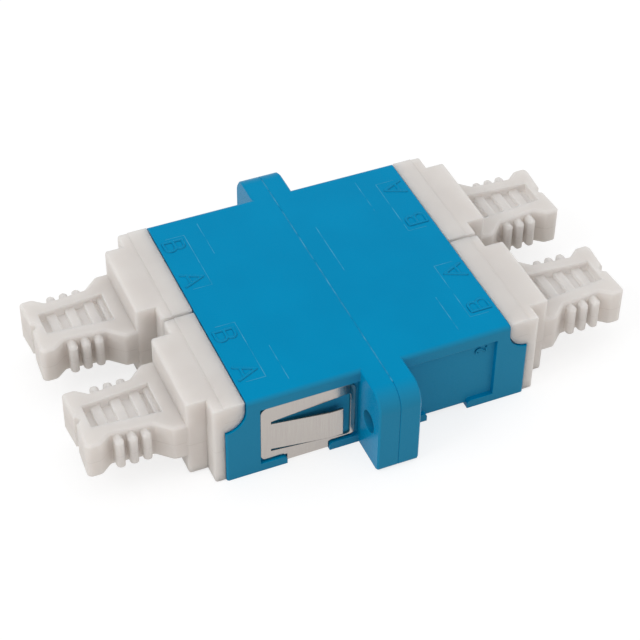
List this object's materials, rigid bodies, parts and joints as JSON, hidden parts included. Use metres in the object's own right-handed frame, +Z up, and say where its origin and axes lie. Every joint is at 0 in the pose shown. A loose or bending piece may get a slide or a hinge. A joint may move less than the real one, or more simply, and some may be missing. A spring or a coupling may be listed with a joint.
{
  "type": "fibre optic adapter",
  "caption": "Flat flanged coupler for fibre plugs: rows of square sockets in both ends, a folded spring clip for a panel cut-out, and ribbed pull-off dust caps.",
  "frame": {"origin": "middle of the adapter, on its underside", "axes": "+X along the fibres towards the rear ports, the clip being on the -X half; +Y across the row of ports; +Z up, to the latch side"},
  "size_m": [0.0536, 0.0344, 0.009],
  "materials": {
    "housing_plastic": "satin moulded",
    "cap_plastic": "soft, fine moulded",
    "clip_steel": "rolled strip, satin",
    "sleeve_ceramic": "ground"
  },
  "bodies": {
    "adapter": {"housing_front": "housing_plastic", "housing_rear": "housing_plastic", "spring_clip": "clip_steel", "split_sleeve_1": "sleeve_ceramic", "split_sleeve_2": "sleeve_ceramic", "split_sleeve_3": "sleeve_ceramic", "split_sleeve_4": "sleeve_ceramic"},
    "cap_front_left": {"dust_cap_front_left": "cap_plastic"},
    "cap_front_right": {"dust_cap_front_right": "cap_plastic"},
    "cap_rear_left": {"dust_cap_rear_left": "cap_plastic"},
    "cap_rear_right": {"dust_cap_rear_right": "cap_plastic"}
  },
  "joints": [
    {"name": "front_left_cap_pull", "type": "slide", "parent": "adapter", "child": "cap_front_left", "axis": [-1, 0, 0], "range_m": [0, 0.012]},
    {"name": "front_right_cap_pull", "type": "slide", "parent": "adapter", "child": "cap_front_right", "axis": [-1, 0, 0], "range_m": [0, 0.012]},
    {"name": "rear_left_cap_pull", "type": "slide", "parent": "adapter", "child": "cap_rear_left", "axis": [1, 0, 0], "range_m": [0, 0.012]},
    {"name": "rear_right_cap_pull", "type": "slide", "parent": "adapter", "child": "cap_rear_right", "axis": [1, 0, 0], "range_m": [0, 0.012]}
  ]
}
